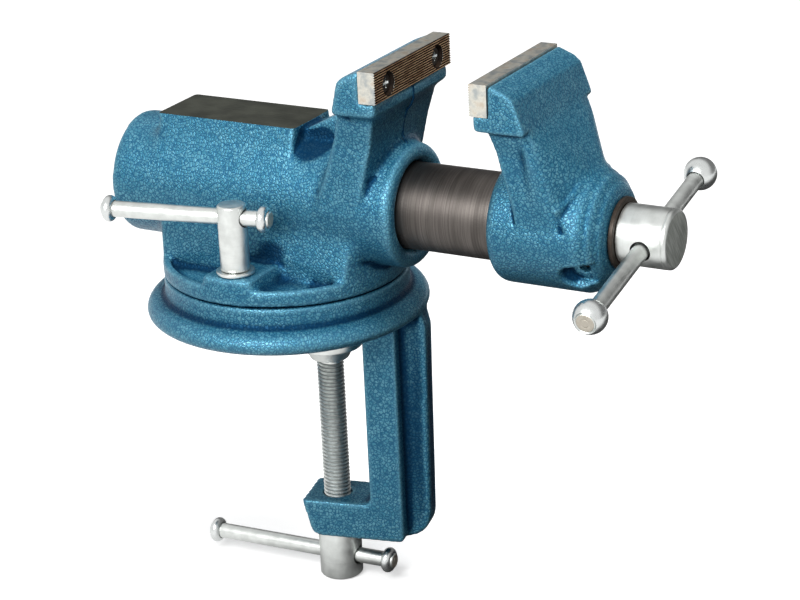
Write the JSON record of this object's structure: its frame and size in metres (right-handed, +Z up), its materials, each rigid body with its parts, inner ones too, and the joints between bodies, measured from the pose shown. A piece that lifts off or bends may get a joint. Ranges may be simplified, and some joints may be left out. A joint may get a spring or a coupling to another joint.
{
  "type": "portable bench vise",
  "caption": "Clamp-on bench vise with a swivel base, round anvil barrel, steel tube slide, serrated jaw plates and sliding bar handles",
  "frame": {"origin": "on the swivel axis, in the base disc's flat underside, which sits on the bench", "axes": "+X runs along the slide from the fixed jaw to the main handle, +Y away from the lock's side, +Z up"},
  "size_m": [0.2901, 0.1462, 0.284],
  "materials": {
    "hammer_paint": "blue hammertone enamel on grey iron castings",
    "ground_steel": "ground and serrated hardened steel",
    "turned_steel": "dark turned steel with fine tool marks",
    "zinc_plate": "bright zinc plate on turned steel",
    "polished_steel": "polished bright steel",
    "black_steel": "black oxide steel"
  },
  "bodies": {
    "base": {"clamp_base": "hammer_paint"},
    "vise_body": {"fixed_jaw_body": "hammer_paint", "fixed_jaw_plate": "ground_steel", "fixed_plate_screw_near": "black_steel", "fixed_plate_screw_far": "black_steel", "spindle_nut": "black_steel", "swivel_bolt": "zinc_plate", "t_bolt": "black_steel", "lock_washer": "zinc_plate"},
    "lock_nut": {"lock_nut": "zinc_plate"},
    "lock_bar": {"lock_bar": "zinc_plate", "lock_bar_left_end": "polished_steel", "lock_bar_right_end": "polished_steel"},
    "moving_jaw": {"moving_jaw_body": "hammer_paint", "moving_jaw_plate": "ground_steel", "moving_plate_screw_near": "black_steel", "moving_plate_screw_far": "black_steel", "slide_tube": "turned_steel", "spindle_retaining_screw": "black_steel", "thrust_ring": "black_steel"},
    "spindle": {"spindle": "zinc_plate"},
    "main_bar": {"main_bar": "zinc_plate", "main_bar_left_end": "polished_steel", "main_bar_right_end": "polished_steel"},
    "clamp_pad": {"clamp_pad": "zinc_plate"},
    "clamp_screw": {"clamp_screw": "zinc_plate"},
    "clamp_bar": {"clamp_bar": "zinc_plate", "clamp_bar_left_end": "polished_steel", "clamp_bar_right_end": "polished_steel"}
  },
  "joints": [
    {"name": "swivel", "type": "hinge", "parent": "base", "child": "vise_body", "pos_m": [0, 0, 0], "axis": [0, 0, 1], "continuous": true},
    {"name": "jaw_slide", "type": "slide", "parent": "vise_body", "child": "moving_jaw", "axis": [1, 0, 0], "range_m": [-0.0476, 0.0201]},
    {"name": "spindle_turn", "type": "hinge", "parent": "moving_jaw", "child": "spindle", "pos_m": [0.1844, 0, 0.064], "axis": [1, 0, 0], "range_deg": [-4280, 1800]},
    {"name": "main_bar_slide", "type": "slide", "parent": "spindle", "child": "main_bar", "axis": [0, 0.9789, 0.2045], "range_m": [-0.0375, 0.0475]},
    {"name": "clamp_travel", "type": "slide", "parent": "base", "child": "clamp_pad", "axis": [0, 0, 1], "range_m": [-0.0601, 0]},
    {"name": "clamp_screw_turn", "type": "hinge", "parent": "clamp_pad", "child": "clamp_screw", "pos_m": [0.01946, 0.00414, -0.119], "axis": [0, 0, 1], "range_deg": [-10800, 0]},
    {"name": "clamp_bar_slide", "type": "slide", "parent": "clamp_screw", "child": "clamp_bar", "axis": [0.9987, 0.0506, 0], "range_m": [-0.013, 0.058]},
    {"name": "lock_turn", "type": "hinge", "parent": "vise_body", "child": "lock_nut", "pos_m": [0.0023, -0.04995, 0.065], "axis": [0, 0, 1], "range_deg": [0, 25]},
    {"name": "lock_bar_slide", "type": "slide", "parent": "lock_nut", "child": "lock_bar", "axis": [-0.9857, -0.1685, 0], "range_m": [-0.045, 0.006]}
  ],
  "couplings": [
    {"joint": "jaw_slide", "follows": "spindle_turn", "m_per_rad": 0.00063662},
    {"joint": "clamp_travel", "follows": "clamp_screw_turn", "m_per_rad": 0.00031831}
  ]
}
